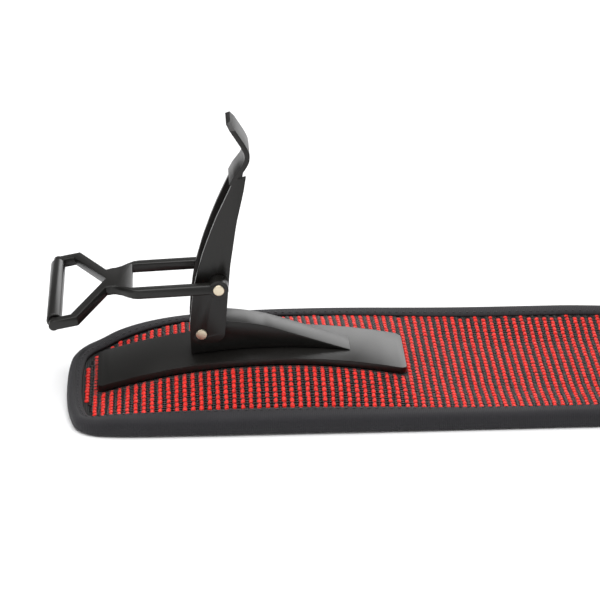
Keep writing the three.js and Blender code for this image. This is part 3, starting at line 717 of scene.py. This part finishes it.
def tail_webbing():
    """The tail strap: a flat woven band with rounded edges, curled in the roll's core."""
    half = node_box("tail_strap")[1].y
    inner, outer = STRAP_INNER, STRAP_OUTER
    reach, drop = STRAP_EDGE
    section = [(-half + reach, outer), (half - reach, outer), (half, outer - drop), (half, inner + drop),
               (half - reach, inner), (-half + reach, inner), (-half, inner + drop), (-half, outer - drop)]
    points = []
    uvs = []
    angles = np.linspace(math.radians(STRAP_START), math.radians(STRAP_END), 70)
    for angle in angles:
        for across, radius in section:
            x = (ROLL_X + PIVOT_X + radius * math.cos(angle)) * MM
            z = (ROLL_RADIUS + radius * math.sin(angle)) * MM
            points.append((x, across * MM, z))
            uvs.append((angle * outer * MM, across * MM))
    count = len(section)
    faces = grid_faces(len(angles), count)
    faces.append(tuple(range(count - 1, -1, -1)))
    faces.append(tuple((len(angles) - 1) * count + k for k in range(count)))
    return make_object("tail_webbing", points, faces, BINDING_TAPE, uvs)


def build_soft_pieces():
    ground = fabric_layer("traction_ground", GROUND, GROUND_WEAVE)
    film = fabric_layer("backing_film_sheet", BACKING, BACKING_FILM)
    tape = edge_tape()
    threads = stitches()
    floats = red_floats()
    warp = black_warp()
    webbing = tail_webbing()
    for piece in (ground, film, tape, threads, floats, warp, webbing):
        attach(piece, "skin")
    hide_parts("sole_fabric", "rolled_length")
    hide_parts("backing_fabric")
    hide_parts("edge_binding")
    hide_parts("tail_strap")


# ---------- metal pieces ----------

WELD_DISTANCE = 0.000005
FLAT_ANGLE = math.radians(1.5)  # faces closer than this to flat are joined
SHARP_ANGLE = math.radians(28)  # edges sharper than this are rounded


def finish_node(name, material, edge_radius):
    """Gives a CAD node its material and softly rounded edges."""
    obj = frame["nodes"][name]
    obj.data.materials.clear()
    obj.data.materials.append(material)
    obj.data.polygons.foreach_set("use_smooth", [True] * len(obj.data.polygons))
    weld = obj.modifiers.new("weld", "WELD")
    weld.merge_threshold = WELD_DISTANCE
    flat = obj.modifiers.new("join_flat_faces", "DECIMATE")
    flat.decimate_type = "DISSOLVE"
    flat.angle_limit = FLAT_ANGLE
    bevel = obj.modifiers.new("round_edges", "BEVEL")
    bevel.width = edge_radius * MM
    bevel.segments = 3
    bevel.limit_method = "ANGLE"
    bevel.angle_limit = SHARP_ANGLE
    bevel.harden_normals = True
    return obj


def build_metal_pieces():
    black_edges = {
        "base_plate": 0.35, "ramp_block": 0.4, "lever": 0.35, "bail_frame": 0.15, "bar_sleeve": 0.15,
    }
    rivets = ("lever_pin", "bail_rivet_near", "bail_rivet_far", "tail_rivet_near", "tail_rivet_far")
    screws = [name for name in frame["nodes"] if "screw" in name]
    for name, radius in black_edges.items():
        finish_node(name, SATIN_BLACK, radius)
    for name in rivets:
        finish_node(name, NICKEL, 0.12)
    for name in ("under_plate", "tail_hook", *screws):
        finish_node(name, STEEL, 0.1)


# ---------- stage ----------

FLOOR_HALF = 6.0
FLOOR_Z = -0.0002  # just under the skin, so that the two never share a plane


def area_light(name, location, target, size, power):
    data = bpy.data.lights.new(name, "AREA")
    data.shape = "RECTANGLE"
    data.size, data.size_y = size
    data.energy = power
    obj = bpy.data.objects.new(name, data)
    obj.location = location
    obj.rotation_mode = "QUATERNION"
    obj.rotation_quaternion = (Vector(target) - Vector(location)).to_track_quat("-Z", "Y")
    bpy.context.scene.collection.objects.link(obj)


def build_stage():
    corners = [(x * FLOOR_HALF, y * FLOOR_HALF, FLOOR_Z) for x, y in ((-1, -1), (1, -1), (1, 1), (-1, 1))]
    floor = make_object("floor", corners, [(0, 1, 2, 3)], floor_material(), smooth=False)
    world = bpy.data.worlds.new("studio")
    world.use_nodes = True
    background = world.node_tree.nodes["Background"]
    background.inputs["Color"].default_value = (1, 1, 1, 1)
    background.inputs["Strength"].default_value = 0.2
    bpy.context.scene.world = world
    middle = (0, 0, 0.02)
    area_light("overhead", (-0.1, -0.1, 1.5), middle, (1.6, 1.6), 33)
    area_light("back_panel", (0.55, 1.6, 0.62), middle, (1.25, 0.9), 9.5)
    area_light("front_fill", (-0.9, -1.3, 0.9), middle, (0.9, 0.9), 7)


def build_camera():
    azimuth = math.radians(-3)
    elevation = math.radians(25)
    distance = 1.046
    target = Vector((PIVOT_X + 39.6, -4.4, 36.8)) * MM
    back = Vector((math.sin(azimuth) * math.cos(elevation), -math.cos(azimuth) * math.cos(elevation),
                   math.sin(elevation)))
    data = bpy.data.cameras.new("camera")
    data.sensor_width = 36
    data.lens = 157
    data.clip_start = 0.05
    data.clip_end = 50
    camera = bpy.data.objects.new("camera", data)
    camera.location = target + back * distance
    camera.rotation_mode = "QUATERNION"
    camera.rotation_quaternion = (-back).to_track_quat("-Z", "Y")
    bpy.context.scene.collection.objects.link(camera)
    bpy.context.scene.camera = camera


bpy.context.scene.view_settings.view_transform = "Standard"
build_camera()
build_soft_pieces()
build_metal_pieces()
build_stage()
